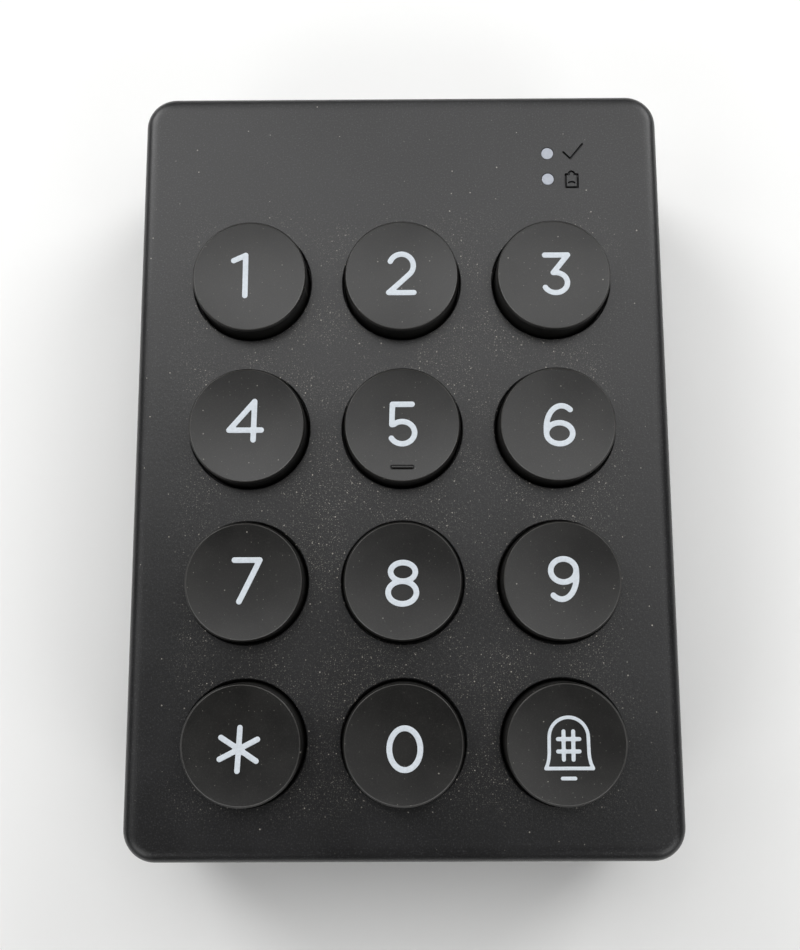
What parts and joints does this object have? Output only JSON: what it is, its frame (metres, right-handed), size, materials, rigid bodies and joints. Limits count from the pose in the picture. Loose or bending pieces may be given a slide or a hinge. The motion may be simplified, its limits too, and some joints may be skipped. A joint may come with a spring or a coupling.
{
  "type": "numeric keypad",
  "caption": "Slim black battery-powered wall keypad with round concave number, star and bell keys, indicator lights and a wall plate it lifts off.",
  "frame": {"origin": "middle of the keypad's back, on the face of the adhesive pads that meets the wall", "axes": "+Z out of the wall through the keys, +Y up the face towards the indicator lights, +X to the right as a user sees it"},
  "size_m": [0.0706, 0.1018, 0.0271],
  "materials": {
    "case_plastic": "black moulded plastic with a fine spark texture, satin",
    "key_plastic": "black moulded plastic, smooth satin, with pale figures moulded or printed in",
    "legend_white": "cool white figures on the key tops",
    "key_mat_silicone": "moulded silicone, matt",
    "gasket_rubber": "matt",
    "contact_pill_carbon": "matt conductive rubber",
    "board_laminate": "green solder mask, satin",
    "chip_resin": "moulded resin, matt",
    "radio_shield": "tinned sheet, satin",
    "buzzer_plastic": "moulded, satin",
    "light_guide_plastic": "milky grey translucent",
    "led_resin": "pale resin",
    "battery_sleeve": "plain printed sleeve, satin",
    "spring_steel": "nickel plated wire",
    "contact_nickel": "nickel plated strip",
    "screw_steel": "zinc plated",
    "wall_plate_plastic": "black moulded plastic, matt",
    "pad_foam": "foam tape, matt"
  },
  "bodies": {
    "wall_mount": {"wall_plate": "wall_plate_plastic", "adhesive_pad_top": "pad_foam", "adhesive_pad_bottom": "pad_foam"},
    "unit": {"front_cover": "case_plastic", "rear_cover": "case_plastic", "case_gasket": "gasket_rubber", "key_mat": "key_mat_silicone", "circuit_board": "board_laminate", "light_guide": "light_guide_plastic", "status_led": "led_resin", "battery_led": "led_resin", "battery_1": "battery_sleeve", "battery_spring_1": "spring_steel", "battery_contact_1": "contact_nickel", "case_screw_1": "screw_steel", "board_screw_1": "screw_steel", "battery_2": "battery_sleeve", "battery_spring_2": "spring_steel", "battery_contact_2": "contact_nickel", "case_screw_2": "screw_steel", "board_screw_2": "screw_steel", "battery_3": "battery_sleeve", "battery_spring_3": "spring_steel", "battery_contact_3": "contact_nickel", "case_screw_3": "screw_steel", "board_screw_3": "screw_steel", "battery_4": "battery_sleeve", "battery_spring_4": "spring_steel", "battery_contact_4": "contact_nickel", "case_screw_4": "screw_steel", "board_screw_4": "screw_steel", "radio_module": "radio_shield", "controller_chip": "chip_resin", "buzzer": "buzzer_plastic"},
    "button_1": {"key_1": "key_plastic", "contact_pill_1": "contact_pill_carbon"},
    "button_2": {"key_2": "key_plastic", "contact_pill_2": "contact_pill_carbon"},
    "button_3": {"key_3": "key_plastic", "contact_pill_3": "contact_pill_carbon"},
    "button_4": {"key_4": "key_plastic", "contact_pill_4": "contact_pill_carbon"},
    "button_5": {"key_5": "key_plastic", "contact_pill_5": "contact_pill_carbon"},
    "button_6": {"key_6": "key_plastic", "contact_pill_6": "contact_pill_carbon"},
    "button_7": {"key_7": "key_plastic", "contact_pill_7": "contact_pill_carbon"},
    "button_8": {"key_8": "key_plastic", "contact_pill_8": "contact_pill_carbon"},
    "button_9": {"key_9": "key_plastic", "contact_pill_9": "contact_pill_carbon"},
    "button_star": {"key_star": "key_plastic", "contact_pill_star": "contact_pill_carbon"},
    "button_0": {"key_0": "key_plastic", "contact_pill_0": "contact_pill_carbon"},
    "button_bell": {"key_bell": "key_plastic", "contact_pill_bell": "contact_pill_carbon"}
  },
  "joints": [
    {"name": "unit_lift", "type": "slide", "parent": "wall_mount", "child": "unit", "axis": [0, 0, 1], "range_m": [0, 0.025]},
    {"name": "button_1_press", "type": "slide", "parent": "unit", "child": "button_1", "axis": [0, 0, -1], "range_m": [0, 0.0012], "stiffness_N_per_m": 1500, "springref_m": -0.0003, "deforming": ["key_mat"]},
    {"name": "button_2_press", "type": "slide", "parent": "unit", "child": "button_2", "axis": [0, 0, -1], "range_m": [0, 0.0012], "stiffness_N_per_m": 1500, "springref_m": -0.0003, "deforming": ["key_mat"]},
    {"name": "button_3_press", "type": "slide", "parent": "unit", "child": "button_3", "axis": [0, 0, -1], "range_m": [0, 0.0012], "stiffness_N_per_m": 1500, "springref_m": -0.0003, "deforming": ["key_mat"]},
    {"name": "button_4_press", "type": "slide", "parent": "unit", "child": "button_4", "axis": [0, 0, -1], "range_m": [0, 0.0012], "stiffness_N_per_m": 1500, "springref_m": -0.0003, "deforming": ["key_mat"]},
    {"name": "button_5_press", "type": "slide", "parent": "unit", "child": "button_5", "axis": [0, 0, -1], "range_m": [0, 0.0012], "stiffness_N_per_m": 1500, "springref_m": -0.0003, "deforming": ["key_mat"]},
    {"name": "button_6_press", "type": "slide", "parent": "unit", "child": "button_6", "axis": [0, 0, -1], "range_m": [0, 0.0012], "stiffness_N_per_m": 1500, "springref_m": -0.0003, "deforming": ["key_mat"]},
    {"name": "button_7_press", "type": "slide", "parent": "unit", "child": "button_7", "axis": [0, 0, -1], "range_m": [0, 0.0012], "stiffness_N_per_m": 1500, "springref_m": -0.0003, "deforming": ["key_mat"]},
    {"name": "button_8_press", "type": "slide", "parent": "unit", "child": "button_8", "axis": [0, 0, -1], "range_m": [0, 0.0012], "stiffness_N_per_m": 1500, "springref_m": -0.0003, "deforming": ["key_mat"]},
    {"name": "button_9_press", "type": "slide", "parent": "unit", "child": "button_9", "axis": [0, 0, -1], "range_m": [0, 0.0012], "stiffness_N_per_m": 1500, "springref_m": -0.0003, "deforming": ["key_mat"]},
    {"name": "button_star_press", "type": "slide", "parent": "unit", "child": "button_star", "axis": [0, 0, -1], "range_m": [0, 0.0012], "stiffness_N_per_m": 1500, "springref_m": -0.0003, "deforming": ["key_mat"]},
    {"name": "button_0_press", "type": "slide", "parent": "unit", "child": "button_0", "axis": [0, 0, -1], "range_m": [0, 0.0012], "stiffness_N_per_m": 1500, "springref_m": -0.0003, "deforming": ["key_mat"]},
    {"name": "button_bell_press", "type": "slide", "parent": "unit", "child": "button_bell", "axis": [0, 0, -1], "range_m": [0, 0.0012], "stiffness_N_per_m": 1500, "springref_m": -0.0003, "deforming": ["key_mat"]}
  ]
}
